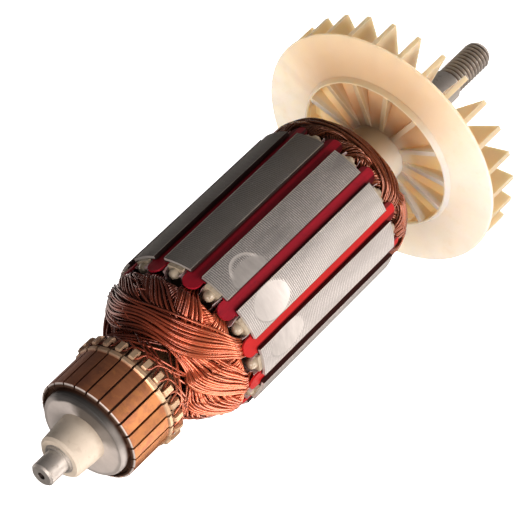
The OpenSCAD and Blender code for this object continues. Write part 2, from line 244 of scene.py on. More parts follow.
# ---------------------------------------------------------------- materials
def shaft_look(p):
    turning = p.around(9, 1.2, 2)
    cloud = p.noise(0.35, 4)
    stain = step(p.noise(0.9, 4), 0.56, 0.72)
    col = mix(cloud, (0.52, 0.50, 0.47), (0.74, 0.72, 0.69))
    col = mix(stain * 0.35, col, (0.30, 0.25, 0.20))
    thread = step(p.x, thread_start - THREAD_NECK, thread_start + 0.1)
    # the shaft is darker past the drive end
    darker_past_drive = step(p.x, DRIVE_END - 0.3, DRIVE_END + 0.2)
    col = mix(darker_past_drive * 0.30, col, (0.14, 0.125, 0.115))
    root = 1 - step(p.r, THREAD_R - 0.55, THREAD_R - 0.15)
    col = mix(thread * root * 0.85, col, (0.14, 0.10, 0.075))
    scratch = step(p.noise(1.6, 4, 0.7, p.at(p.x * 3, p.r, p.a)), 0.55, 0.7)
    col = mix(scratch * 0.4, col, (0.30, 0.26, 0.23))
    # painted shade: the inside of each centre hole is near black
    hole_shade = 1 - step(p.r, CENTRE_R - 0.05, CENTRE_R + 0.05)
    col = mix(hole_shade, col, (0.03, 0.022, 0.02))
    return {"Base Color": col, "Roughness": 0.40 + turning * 0.16 + stain * 0.15,
            "Normal": p.bump(turning, 0.012)}


CORE_FACE_R = 17.43   # the core's round face lies outside this radius
CUT_R = 16.92         # a slot's walls lie under this radius, and the scoops over it
SHEET_PITCH = 0.46    # one lamination and the next
DARK_SIDE_TURN = 0.95   # middle of the side where the core has dark varnish, darkened further as painted shade
LESS_LIGHT_TURN = 2.65      # a scoop past this turn gets less painted light
SCOOP_X = 7.5         # middle of a balance scoop, from the core's front
CRESCENT_TURN = math.radians(117.6)
CRESCENT_R = 3.95     # outer radius of the painted highlight, a bright crescent on one scoop


def core_look(p):
    face = step(p.r, CORE_FACE_R, CORE_FACE_R + 0.04)
    beside = p.beside_slot()
    tooth = step(beside, LIP_EDGE + 0.05, LIP_EDGE + 0.12)
    scoop = (1 - face) * tooth * step(p.r, CUT_R, CUT_R + 0.04)
    grain = p.noise(2.4, 4, 0.7)
    cloud = p.noise(0.22, 4)
    sheets = p.wave(p.x + grain * 0.22 + cloud * 0.5, SHEET_PITCH) ** 1.6
    worn = step(p.along(3, 0.22, 4), 0.30, 0.62)
    # dark varnish and painted shade on the side away from the lamps, where the sheet lines fade
    varnish_and_shade = p.near_turn(DARK_SIDE_TURN, 0.75, 0.95, ragged=p.noise(0.12, 3) * 0.3)
    speck = p.noise(7.0, 2, 0.8)
    lines = sheets * face * (0.2 + worn * 0.8) * (speck * speck * 3.0) * (1 - varnish_and_shade * 0.93)
    # painted light on the side toward -Y, where the lamps stand
    lit_side = step(-p.y, 5.7, 15.5)
    col = mix(grain * 0.5 + cloud * 0.5, (0.15, 0.155, 0.16), (0.40, 0.39, 0.385))
    col = mix(lit_side * 0.5, col, (0.66, 0.64, 0.63))
    col = mix(varnish_and_shade * 0.85, col, (0.185, 0.175, 0.162))
    col = mix(lines, col, (0.82, 0.80, 0.785))
    dust = step(p.noise(1.9, 3, 0.5), 0.70, 0.74)
    col = mix(dust * 0.45, col, (0.80, 0.77, 0.74))
    # the scoops' colour, with painted light: brighter on the side toward -Y, where the lamps stand
    swirl = p.noise(0.9, 5, 0.6, p.at(p.x, p.y * 0.3, p.z * 0.3))
    scoop_in_shade = mix(swirl, (0.34, 0.335, 0.33), (0.66, 0.645, 0.63))
    scoop_in_light = mix(swirl, (0.70, 0.685, 0.67), (1.0, 0.99, 0.97))
    less_light = step(p.a, LESS_LIGHT_TURN, LESS_LIGHT_TURN + 0.1)
    col = mix(scoop, col, mix(lit_side * (0.9 - less_light * 0.5), scoop_in_shade, scoop_in_light))
    # painted highlight: a bright crescent on one scoop
    across = (p.a - CRESCENT_TURN) * core_r
    along = p.x - core_front - SCOOP_X
    off = (across * across + along * along) ** 0.5
    ring = step(off, CRESCENT_R - 0.85, CRESCENT_R - 0.15) * (1 - step(off, CRESCENT_R, CRESCENT_R + 0.2))
    crescent_highlight = ring * (1 - step(across, -2.4, -0.4)) * tooth
    col = mix(crescent_highlight * 0.9, col, (0.90, 0.88, 0.86))
    # pale varnish line along the edges of the teeth, partly a painted glint, and painted shade inside the
    # slots
    edge = tooth * (1 - step(beside, LIP_EDGE + 0.20, LIP_EDGE + 0.32)) * step(p.along(5, 0.7, 3), 0.38, 0.55)
    col = mix(edge * face * 0.7, col, (0.80, 0.74, 0.66))
    # painted shade: the walls inside the slots are near black
    wall = 1 - tooth * step(p.r, CUT_R - 0.02, CUT_R + 0.02)
    col = mix(wall, col, (0.045, 0.030, 0.028))
    return {"Base Color": col, "Roughness": 0.40 - lines * 0.1 + cloud * 0.15,
            "Normal": p.bump(sheets * face + grain * 0.15, 0.05, 0.8)}


def wedge_look(p):
    fibre = p.along(14, 2.2, 4)
    blot = p.noise(0.6, 4)
    shade = step(p.beside_slot() + fibre * 0.3, 0.95, 1.25) * step(p.x, core_front, core_front + 0.6)
    col = mix(fibre, (0.32, 0.005, 0.016), (0.66, 0.018, 0.028))
    col = mix(step(blot, 0.5, 0.75) * 0.5, col, (0.24, 0.002, 0.012))
    lit = step(-p.y, 11.5, 14.5)
    col = mix((1 - lit) * 0.45, col, (0.20, 0.008, 0.030))
    col = mix(lit * 0.4, col, (0.78, 0.030, 0.018))
    col = mix(shade * 0.8, col, (0.05, 0.004, 0.006))
    return {"Base Color": col, "Roughness": 0.32 + blot * 0.2, "Normal": p.bump(fibre, 0.03)}


DARKER_INSIDE_R = 15.2        # the end insulators are darker inside this radius


def insulator_look(p):
    cloud = p.noise(0.9, 4)
    grime = step(p.noise(0.5, 3), 0.48, 0.7)
    inner = 1 - step(p.r, DARKER_INSIDE_R - 1.6, DARKER_INSIDE_R)
    col = mix(cloud, (0.44, 0.37, 0.27), (0.62, 0.55, 0.43))
    col = mix(grime * 0.5, col, (0.20, 0.13, 0.07))
    col = mix(inner * 0.7, col, (0.16, 0.10, 0.06))
    return {"Base Color": col, "Roughness": 0.22 + cloud * 0.2, "Normal": p.bump(cloud, 0.06)}


def bush_look(p):
    cloud = p.noise(0.5, 4)
    rings = p.around(5, 1.0, 2)
    grime = step(p.noise(0.8, 5), 0.55, 0.72)
    col = mix(cloud, (0.74, 0.66, 0.54), (0.86, 0.79, 0.68))
    col = mix(grime * 0.22, col, (0.45, 0.36, 0.26))
    foot = step(p.x + p.noise(0.7, 3) * 2, disc_front - 0.7, disc_front + 1.3)
    col = mix(foot * 0.35, col, (0.34, 0.27, 0.19))
    return {"Base Color": col, "Roughness": 0.42 + cloud * 0.15, "Normal": p.bump(rings, 0.01)}


SOOT_SHADOW_TURN = 2.1       # middle of the disc's dark side: soot, and the painted shadow of the bush
DISC_TOP_TURN = 1.5   # middle of the part where the painted shade is darkest


def moulding_look(p):
    cloud = p.noise(0.5, 4)
    grain = p.noise(5, 3)
    # painted shade: the moulding behind the disc's front, in the gaps between bars and by the sleeve, is its
    # brown darkened
    deep_shade = step(p.x, disc_front + 1.0, disc_front + 1.7)
    # soot, and the painted shadow of the bush, on one side of the disc
    soot_and_shadow = p.near_turn(SOOT_SHADOW_TURN, 0.75, 1.25, ragged=p.noise(0.25, 3) * 0.5)
    above = p.near_turn(DISC_TOP_TURN, 0.55, 0.95)
    # painted shadow along the disc's rim, under the bars, heaviest at the top
    rim = step(p.r + p.noise(0.4, 3) * 0.5 + above * 0.5, DISC_R - 0.6, DISC_R)
    col = mix(cloud, (0.60, 0.57, 0.55), (0.78, 0.745, 0.72))
    col = mix(soot_and_shadow * (0.70 + above * 0.22), col, (0.085, 0.073, 0.062))
    col = mix(rim * (0.35 + above * 0.60), col, (0.05, 0.05, 0.05))
    col = mix(deep_shade, col, (0.105, 0.048, 0.028))
    return {"Base Color": col, "Roughness": 0.40 + grain * 0.2, "Normal": p.bump(grain, 0.01)}


def bar_look(p):
    rings = p.around(8, 1.3, 3)
    patch = p.noise(0.45, 4)
    track = step(p.r, TRACK_R - 0.15, TRACK_R - 0.05) * (1 - step(p.x, TRACK_END, TRACK_END + 0.3))
    worn = step(p.around(1.0, 0.5, 2), 0.42, 0.62)
    col = mix(patch, (0.52, 0.18, 0.085), (0.72, 0.31, 0.15))
    dark = mix(rings, (0.34, 0.125, 0.055), (0.52, 0.215, 0.10))
    col = mix(track * (0.35 + worn * 0.4), col, dark)
    tarnish = step(p.noise(0.28, 4), 0.48, 0.66)
    col = mix(tarnish * 0.5, col, (0.26, 0.10, 0.062))
    shaded = step(p.y + p.noise(0.3, 3) * 6, 0.0, 9.0)
    col = mix(shaded * 0.48, col, (0.22, 0.085, 0.065))
    # orange patches of copper tone, more of them toward -Y as painted light
    orange_patch_and_light = step(p.noise(0.55, 3) - p.y * 0.02, 0.55, 0.80)
    col = mix(orange_patch_and_light * 0.45, col, (0.90, 0.40, 0.13))
    # painted highlight: the bars' front bevel is near white
    bevel = (1 - step(p.x, bar_front + 0.3, bar_front + 0.42)) * step(p.r, TRACK_R - 1.2, TRACK_R - 1.1)
    col = mix(bevel * 0.95, col, (1.0, 0.95, 0.92))
    tail = step(p.x, TRACK_END + 0.1, TRACK_END + 0.5)
    col = mix(tail * 0.8, col, mix(patch, (0.84, 0.56, 0.36), (1.0, 0.86, 0.60)))
    col = mix(tail * shaded * 0.5, col, (0.36, 0.21, 0.16))
    low = 1 - step(p.r, TRACK_R - 0.5, TRACK_R - 0.15)
    col = mix(low, col, (0.10, 0.05, 0.03))
    return {"Base Color": col, "Roughness": 0.30 + rings * 0.14 + patch * 0.08 + bevel * 0.2,
            "Normal": p.bump(rings, 0.012)}


def wire_look(p):
    tone = p.attribute("tone")
    patch = p.noise(0.3, 3)
    drip = step(p.noise(0.55, 4), 0.5, 0.68)
    # painted shade on the wires behind the core, on the fan side
    behind = step(p.x, core_back, core_back + 2)
    col = mix(step(tone, 0.0, 1.0), (0.17, 0.014, 0.008), (0.92, 0.19, 0.085))
    col = mix(patch * 0.3, col, (0.92, 0.24, 0.11))
    col = mix(drip * 0.3, col, (0.12, 0.014, 0.008))
    sunny = step(-p.y, 3.0, 12.0) * (1 - behind)
    col = mix(sunny * 0.45, col, (1.0, 0.33, 0.16))
    # varnish soak and painted shade, heaviest on the +Y +Z side away from the lamps
    soak_and_shade = step(p.noise(0.10, 3) * 14 + p.y * 0.55 + p.z * 0.35, 6.2, 12.6)
    col = mix(soak_and_shade * 0.74, col, (0.19, 0.040, 0.020))
    # painted shade in the hollow of the front winding near the core, on the +Y side
    cavity_shade = step(p.x, core_front - 11, core_front - 5) * step(p.y + p.noise(0.2, 2) * 4, -5.0, 3.0)
    col = mix(cavity_shade * (1 - behind) * 0.72, col, (0.060, 0.010, 0.006))
    # painted shade behind the core
    col = mix(behind * 0.70, col, (0.17, 0.060, 0.022))
    return {"Base Color": col, "Roughness": 0.17 + drip * 0.12 + tone * 0.05}


def sleeve_look(p):
    # varnish-soaked brown, kept dark as painted shade where the sleeve lies behind the moulding
    cloud = p.noise(0.6, 4)
    return {"Base Color": mix(cloud, (0.10, 0.045, 0.02), (0.26, 0.13, 0.06)), "Roughness": 0.4 + cloud * 0.2}


FAN_TOP_TURN = 1.4    # middle of the fan's top side, painted a darker tan as shade
NOOK_TURN = 1.6       # middle of the painted shade between its blades


def fan_look(p):
    cloud = p.noise(0.16, 4)
    speck = step(p.noise(2.2, 4), 0.62, 0.74)
    flow = p.noise(0.35, 3)
    inside = 1 - step(p.r, FAN_EYE_R + 0.02, FAN_EYE_R + 0.12)
    in_eye = inside * step(p.x, BLADE_FRONT, BLADE_FRONT + 0.7)
    behind = p.base.maths("MAXIMUM", step(p.x, RING_BACK, RING_BACK + 0.25), in_eye)
    wall = inside * step(p.r, FAN_EYE_R - 0.4, FAN_EYE_R - 0.3)
    outward = step(p.r, FAN_EYE_R + 0.9, FAN_EYE_R + 9.9)
    # painted shade: the fan's top side is darker tan
    upper = p.near_turn(FAN_TOP_TURN, 0.45, 1.5) * (1 - behind) * (1 - outward * 0.2)
    # painted shade between the blades in the fan's opening
    nook_shade = p.near_turn(NOOK_TURN, 0.5, 1.3) * inside * step(p.x, BLADE_FRONT, BLADE_FRONT + 0.6)
    col = mix(cloud, (0.84, 0.73, 0.61), (0.92, 0.84, 0.75))
    col = mix(step(flow, 0.5, 0.8) * 0.2, col, (0.72, 0.50, 0.26))
    col = mix(behind * 0.62, col, (0.76, 0.54, 0.28))
    col = mix(upper * 0.95, col, (0.46, 0.335, 0.20))
    col = mix(nook_shade * 0.65, col, (0.40, 0.26, 0.13))
    col = mix(wall * 0.6, col, (0.78, 0.58, 0.36))
    col = mix(speck * 0.12, col, (0.45, 0.34, 0.2))
    return {"Base Color": col, "Roughness": 0.36 + cloud * 0.14, "Normal": p.bump(flow, 0.03)}


def paper_look(p):
    cloud = p.noise(1.2, 4)
    stain = step(p.noise(0.6, 4), 0.45, 0.65)
    col = mix(cloud, (0.50, 0.38, 0.40), (0.76, 0.66, 0.66))
    col = mix(stain * 0.7, col, (0.30, 0.05, 0.05))
    return {"Base Color": col, "Roughness": 0.3 + cloud * 0.3, "Normal": p.bump(cloud, 0.08)}


lilac_paper = material("slot_paper", paper_look, Coat_Weight=0.3)
shaft_steel = material("shaft_steel", shaft_look, Metallic=0.75)
wire_copper = material("enamelled_copper", wire_look, Metallic=0.5, Coat_Weight=0.9, Coat_Roughness=0.10)
LOOKS = {
    "shaft_steel": shaft_steel,
    "core_steel": material("core_steel", core_look, Metallic=0.4),
    "red_wedge": material("red_wedge", wedge_look, Specular_IOR_Level=0.3),
    "ivory_insulator": material("ivory_insulator", insulator_look, Coat_Weight=0.5),
    "bush_insulator": material("bush_insulator", bush_look),
    "commutator_moulding": material("commutator_moulding", moulding_look),
    "commutator_copper": material("commutator_copper", bar_look, Metallic=0.6),
    "enamelled_copper": wire_copper,
    "sleeve_insulator": material("sleeve_insulator", sleeve_look),
    "fan_nylon": material("fan_nylon", fan_look, Subsurface_Weight=0.85, Subsurface_Scale=0.004,
                          Subsurface_Radius=(1.0, 0.75, 0.5), Coat_Weight=0.12),
}
for part in frame["record"]["subparts"]:
    for slot in nodes[part["node"]].material_slots:
        slot.material = LOOKS[part["material_slot"]]


# ---------------------------------------------------------------- wires
def bezier(points, t):
    """A cubic Bezier curve through t."""
    a, b, c, d = [np.array(p, float) for p in points]
    t = t[:, None]
    return a * (1 - t) ** 3 + 3 * b * t * (1 - t) ** 2 + 3 * c * t * t * (1 - t) + d * t ** 3


def ramp(v, low, high):
    """0 below low, 1 above high, smooth between."""
    t = np.clip((v - low) / (high - low), 0, 1)
    return t * t * (3 - 2 * t)


def smooth(path, passes):
    """Averages each point with its neighbours; the ends stay."""
    for _ in range(passes):
        path[1:-1] = path[1:-1] / 2 + (path[:-2] + path[2:]) / 4
    return path


def length_along(path):
    """Length from a path's start to each of its points."""
    return np.concatenate([[0], np.cumsum(np.linalg.norm(np.diff(path, axis=0), axis=1))])


def spread(path, count):
    """The same path with its points evenly spaced."""
    length = length_along(path)
    at = np.linspace(0, length[-1], count)
    return np.stack([np.interp(at, length, path[:, i]) for i in range(path.shape[1])], axis=1)


def to_xyz(path):
    """Turns x, radius and turn into x, y and z."""
    x, r, a = path.T
    return np.stack([x, r * np.cos(a), r * np.sin(a)], axis=1)


ANY_PHASE = 6.3       # about a whole turn of a sine
WAVES = 2


def wobble(rng, u, size):
    """A slow random swing along a wire."""
    return sum(rng.normal(0, size / (w + 1)) * np.sin((w + 1) * math.pi * u + rng.uniform(0, ANY_PHASE))
               for w in range(WAVES))


WIRE_D = 0.49
ACROSS = 10           # wires side by side in a coil
DEEP = 3              # rows of them, one under another
ROW_STEP = 0.46
ROW_SHIFT = 0.5       # every other row is moved this share of a wire
PLACE_JITTER = 0.22   # in wires
COIL_FAN = math.radians(10.5)    # a coil's farthest wire turns this much wider to each side than its nearest
LAYER_FILL = 0.9      # share of a slot layer's height that the rows take
DROP_JITTER = 0.06
LAYER = 1.55          # how far a coil lies under one that is wound over it
LAP_START = 1.6       # it starts to dip this far before the upper coil's near edge
LAP_END = 1.2         # and is down this far past it
WANDER = 0.30         # how far a wire strays along the outline
SINK = 0.10           # and under it
CLIMB = 4.2           # length over which a wire leaves its slot for the outline
PLATE = 1.0           # wires run straight this far past the core
PLATE_FADE = (2.0, 6.0)     # lengths along the outline over which that share fades
LEAST_OUT = 0.5       # least way out from the core for each mm along the outline
SINK_PASSES = 60      # rounds of smoothing for the depth
PATH_PASSES = 4       # and for the whole path
SLOT_TOP = (14.6, 2.2)      # middle radius and height of the upper layer in a slot
SLOT_LOW = (11.35, 3.0)     # and of the lower one
TOP_SETTLE = 0.3      # in the upper layer each coil lies this much lower than the one before
SETTLED = 4           # until this coil
TONES = (0.45, 1.0)   # range of the tones of a coil's top wires
# painted shade: each deeper row of a coil is this much darker
ROW_SHADE = 0.36
TONE_SWING = 0.10
OUTLINE_POINTS = 150
ARC_POINTS = 400
WIRE_SEED = 40


class Head:
    """One end of the winding: its outline out from the core's face, and the arcs that coils make over it.

    near and far give, for each coil, how far out an arc reaches along the outline at the coil's near
    and far edge, and how square it bows. The last entry serves the coils that are left.
    """

    def __init__(self, face, way, outline, near, far, points):
        self.face = face
        self.way = way
        self.near = near
        self.far = far
        self.points = points
        t = np.linspace(0, 1, OUTLINE_POINTS)
        self.line = np.concatenate([bezier(part, t)[:-1] for part in outline])
        self.s = length_along(self.line)
        slope = np.gradient(self.line, self.s, axis=0)
        self.normal = np.stack([-slope[:, 1], slope[:, 0]], axis=1)
        self.normal /= np.linalg.norm(self.normal, axis=1)[:, None]

    def outline_at(self, s):
        """Distance from the core and radius of the outline, s mm along it."""
        return np.interp(s, self.s, self.line[:, 0]), np.interp(s, self.s, self.line[:, 1])

    def normal_at(self, s):
        """The outline's outward normal, s mm along it."""
        return np.interp(s, self.s, self.normal[:, 0]), np.interp(s, self.s, self.normal[:, 1])

    def arc(self, coil, u, across):
        """How far along the outline an arc lies; across is 0 at the coil's near edge and 1 at its far one."""
        near, far = [edges[min(coil, len(edges) - 1)] for edges in (self.near, self.far)]
        reach, bow = [n + (f - n) * across for n, f in zip(near, far)]
        return reach * (1 - np.abs(np.clip(u, -1, 1)) ** bow)

    def depth(self, coil, turn, s):
        """How far under the outline this coil lies: one layer for each coil wound over it there."""
        total = np.zeros_like(s)
        for over in range(coil):
            u = (turn - middle(over) + math.pi) % (2 * math.pi) - math.pi
            u = u / (COIL_SPAN / 2)
            edge = self.arc(over, u, 0.0)
            total += LAYER * ramp(s, edge - LAP_START, edge + LAP_END) * (np.abs(u) < 1)
        return total

    def wire(self, coil, rng, across, row, half, sides):
        """One wire from the coil's first slot to its second; sides are its radii in the two."""
        u = np.linspace(-1, 1, ARC_POINTS)
        turn = middle(coil) + half * u
        s = self.arc(coil, u, across) + wobble(rng, u, WANDER) * (1 - u ** 4)
        s = np.clip(s, 0, self.s[-1])
        sunk = self.depth(coil, turn, s) + row * ROW_STEP + wobble(rng, u, SINK)
        sunk = smooth(sunk, SINK_PASSES)
        out, radius = [at - normal * sunk for at, normal in zip(self.outline_at(s), self.normal_at(s))]
        ends = np.where(u < 0, sides[0], sides[1])
        radius = ends + (radius - ends) * ramp(s, 0.0, CLIMB)
        out = np.maximum(out, s * LEAST_OUT) + PLATE * (1 - ramp(s, *PLATE_FADE))
        path = to_xyz(np.stack([self.face + self.way * out, radius, turn], axis=1))
        return spread(smooth(path, PATH_PASSES), self.points)


def middle(coil):
    """Turn of a coil's middle about the shaft."""
    return slot_turn + coil * SLOT_STEP + COIL_SPAN / 2


FRONT = Head(core_front, -1, points=62,
             outline=[[(0, 17.0), (6.3, 16.7), (12.4, 11.6), (13.0, 9.7)],
                      [(13.0, 9.7), (13.5, 8.4), (13.0, 7.2), (12.2, 6.5)]],
             near=[(9.6, 2.4), (11.0, 2.5), (10.6, 2.8)],
             far=[(14.4, 5.0), (15.9, 8.0), (17.4, 8.0), (18.2, 8.0)])
BACK = Head(core_back, 1, points=46,
            outline=[[(0, 16.8), (6.0, 16.9), (9.2, 15.6), (8.7, 10.5)]],
            near=[(5.6, 3.2), (6.2, 3.5)],
            far=[(10.6, 6.5), (11.6, 8.0)])


def side_radii(coil, drop):
    """Radii of a wire in the coil's first slot and its second; drop runs from 0.5 to -0.5 down a layer."""
    radii = []
    for top_coils in (SPAN_SLOTS, SLOTS - SPAN_SLOTS):
        on_top = coil < top_coils
        layer_middle, height = SLOT_TOP if on_top else SLOT_LOW
        settle = TOP_SETTLE * min(coil, SETTLED) * on_top
        radii.append(layer_middle + height * drop - settle)
    return radii


def coil_wires(coil, rng):
    """Every turn of one coil as a closed path, with a tone for each point."""
    wires = []
    for row in range(DEEP):
        for column in range(ACROSS):
            place = column + ROW_SHIFT * (row % 2) + rng.normal(0, PLACE_JITTER)
            across = np.clip(place / (ACROSS - ROW_SHIFT), -0.02, 1.02)
            drop = (0.5 - (row + 0.5) / DEEP) * LAYER_FILL + rng.normal(0, DROP_JITTER)
            half = COIL_SPAN / 2 + (across - 0.5) * COIL_FAN
            sides = side_radii(coil, drop)
            front = FRONT.wire(coil, rng, across, row, half, sides)
            back = BACK.wire(coil, rng, across, row, half, sides)
            ring = np.concatenate([front, back[::-1]])
            u = np.linspace(-1, 1, len(ring))
            # tone differs at random, and each deeper row is darker as painted shade
            tone = rng.uniform(*TONES) - ROW_SHADE * row + wobble(rng, u, TONE_SWING)
            wires.append((ring, tone, True))
    return wires


def wire_tree(name, radius, sides, look):
    """Geometry Nodes that turn lines into round wire."""
    tree = bpy.data.node_groups.new(name, "GeometryNodeTree")
    new_socket = tree.interface.new_socket
    new_socket("Geometry", in_out="INPUT", socket_type="NodeSocketGeometry")
    size = new_socket("Wire radius", in_out="INPUT", socket_type="NodeSocketFloat")
    count = new_socket("Wire sides", in_out="INPUT", socket_type="NodeSocketInt")
    new_socket("Geometry", in_out="OUTPUT", socket_type="NodeSocketGeometry")
    start = tree.nodes.new("NodeGroupInput")
    line = tree.nodes.new("GeometryNodeMeshToCurve")
    ring = tree.nodes.new("GeometryNodeCurvePrimitiveCircle")
    tube = tree.nodes.new("GeometryNodeCurveToMesh")
    shade = tree.nodes.new("GeometryNodeSetShadeSmooth")
    real = tree.nodes.new("GeometryNodeRealizeInstances")
    paint = tree.nodes.new("GeometryNodeSetMaterial")
    end = tree.nodes.new("NodeGroupOutput")
    paint.inputs["Material"].default_value = look
    tube.inputs["Fill Caps"].default_value = True
    link = tree.links.new
    link(start.outputs["Geometry"], line.inputs["Mesh"])
    link(start.outputs["Wire radius"], ring.inputs["Radius"])
    link(start.outputs["Wire sides"], ring.inputs["Resolution"])
    link(line.outputs["Curve"], tube.inputs["Curve"])
    link(ring.outputs["Curve"], tube.inputs["Profile Curve"])
    link(tube.outputs["Mesh"], shade.inputs["Geometry"])
    link(shade.outputs["Geometry"], real.inputs["Geometry"])
    link(real.outputs["Geometry"], paint.inputs["Geometry"])
    link(paint.outputs["Geometry"], end.inputs["Geometry"])
    return tree, {size.identifier: radius, count.identifier: sides}


def new_object(name, data):
    """An object in the scene, at the origin."""
    made = bpy.data.objects.new(name, data)
    bpy.context.scene.collection.objects.link(made)
    return made


def wire_piece(name, wires, diameter, look, sides=5):
    """Turns paths in mm into one mesh of round wires."""
    verts, edges, tones = [], [], []
    for path, tone, closed in wires:
        first, n = len(verts), len(path)
        verts.extend((path * MM).tolist())
        tones.extend(tone.tolist())
        edges.extend((first + i, first + i + 1) for i in range(n - 1))
        if closed:
            edges.append((first + n - 1, first))
    lines = bpy.data.meshes.new(name + "_lines")
    lines.from_pydata(verts, edges, [])
    lines.attributes.new("tone", "FLOAT", "POINT").data.foreach_set("value", tones)
    source = new_object(name + "_lines", lines)
    tree, settings = wire_tree(name + "_tree", diameter / 2 * MM, sides, look)
    modifier = source.modifiers.new("wire", "NODES")
    modifier.node_group = tree
    for key, value in settings.items():
        modifier[key] = value
    view = bpy.context.evaluated_depsgraph_get()
    mesh = bpy.data.meshes.new_from_object(source.evaluated_get(view), depsgraph=view)
    bpy.data.objects.remove(source)
    mesh.name = name
    return new_object(name, mesh)


for coil in range(SLOTS):
    rng = np.random.default_rng(WIRE_SEED + coil)
    piece = wire_piece(f"coil_wires_{coil + 1:02}", coil_wires(coil, rng), WIRE_D, wire_copper)
    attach(piece, "root")
    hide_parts(f"coil_{coil + 1:02}")


# ---------------------------------------------------------------- leads from the commutator
HOOK_R = 11.15        # radius of a lead under its hook
HOOK_HALF = math.radians(5.3)    # turn from a hook's middle to where its lead bends back
HOOK_LOOP = [(0.4, 1.0), (-1.2, 0.9), (-1.8, 0.4)]   # x past the bar's back, and share of that turn
LEAD_D = 0.45
LEAD_START = 0.55     # x past the bar's back where a lead's free part starts
LEAD_REACH = 6.2      # and how far back it goes
LEAD_BESIDE = math.radians(5.4)
LEAD_SWEEP = (math.radians(42), math.radians(80))    # turn that a lead takes on its way back
LEAD_BOW = (1.1, 1.7)            # how late it leaves the commutator
LEAD_FALL = (2.4, 3.4)           # how far it falls toward the shaft
LEAD_TONES = (0.0, 0.75)
LEAD_KNOTS = 160      # points while its bends are smoothed
LEAD_PASSES = 14
LEAD_POINTS = 64      # points that are left
LEAD_SEED = 7


def lead_end(rng, turn, way):
    """Points of one lead from beside its hook back into the winding, as x, radius and turn."""
    t = np.linspace(0, 1, 9)[1:]
    sweep = rng.uniform(*LEAD_SWEEP)
    x = bar_back + LEAD_START + rng.uniform(0, 0.5) + LEAD_REACH * t ** rng.uniform(*LEAD_BOW)
    r = HOOK_R - rng.uniform(*LEAD_FALL) * t ** 1.2
    a = turn + way * (LEAD_BESIDE + sweep * t ** 0.9)
    return list(zip(x, r, a))


def hook_lead(bar, rng):
    """The two leads of one bar, as one path that passes under its hook."""
    turn = bar_turn + bar * BAR_STEP
    under = [(bar_back + x, HOOK_R, turn - HOOK_HALF * share) for x, share in HOOK_LOOP]
    under += [(bar_back + x, HOOK_R, turn + HOOK_HALF * share) for x, share in reversed(HOOK_LOOP)]
    points = lead_end(rng, turn, -1)[::-1] + under + lead_end(rng, turn, 1)
    path = smooth(spread(to_xyz(np.array(points)), LEAD_KNOTS), LEAD_PASSES)
    path = spread(path, LEAD_POINTS)
    return path, np.full(LEAD_POINTS, rng.uniform(*LEAD_TONES)), False


rng = np.random.default_rng(LEAD_SEED)
piece = wire_piece("commutator_leads", [hook_lead(bar, rng) for bar in range(BARS)], LEAD_D, wire_copper, 6)
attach(piece, "root")


# ---------------------------------------------------------------- loose strands and slot papers
STRANDS = 12
STRAND_D = 0.24
STRAND_POINTS = 24
STRAND_START = (22, 62)          # where one starts about the shaft, in degrees
STRAND_SWEEP = (8, 20)           # and how far it goes about it
STRAND_TONES = (0.5, 1.0)
STRAND_SEED = 21


def stray(rng):
    """A thin loose strand that stands a little off the front winding."""
    u = np.linspace(0, 1, STRAND_POINTS)
    turn_start = math.radians(rng.uniform(*STRAND_START))
    s_start = rng.uniform(1, 13)
    turn = turn_start + math.radians(rng.uniform(*STRAND_SWEEP)) * u + wobble(rng, u, 0.02)
    s = np.clip(s_start + rng.uniform(0.5, 3) * u + wobble(rng, u, 0.3), 0.5, FRONT.s[-1] - 1)
    out, radius = FRONT.outline_at(s)
    lift = 0.15 + rng.uniform(0.2, 0.9) * np.sin(math.pi * u) + rng.uniform(-0.2, 0.5) * u
    path = np.stack([core_front - PLATE - out - lift * 0.4, radius + lift * 0.8, turn], axis=1)
    return to_xyz(path), np.full(STRAND_POINTS, rng.uniform(*STRAND_TONES)), False


rng = np.random.default_rng(STRAND_SEED)
piece = wire_piece("loose_strands", [stray(rng) for _ in range(STRANDS)], STRAND_D, wire_copper)
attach(piece, "root")

PAPER_T = 0.12
PAPER_GAP = 0.16      # between the paper and the tooth beside it
PAPER_TOP = 16.25     # radius of the paper's two edges
PAPER_FLOOR = 9.9     # radius of its fold at the slot's floor
PAPER_IN = 0.4        # it starts this far inside the core
PAPER_OUT = 1.9       # and stands out about this far
PAPER_TORN = 0.35     # spread of its torn edge
PAPER_UNEVEN = 0.5    # most that one paper differs from the rest
PAPER_FLARE = 0.06
PAPER_POINTS = 9
PAPER_SEED = 33


def ordered_mesh(name, work):
    """A mesh from bmesh data, with faces in the same order each run; solidify's own order can change."""
    work.verts.index_update()
    verts = [tuple(v.co) for v in work.verts]
    faces = [[v.index for v in face.verts] for face in work.faces]
    mesh = bpy.data.meshes.new(name)
    mesh.from_pydata(verts, [], sorted(faces, key=sorted))
    return mesh


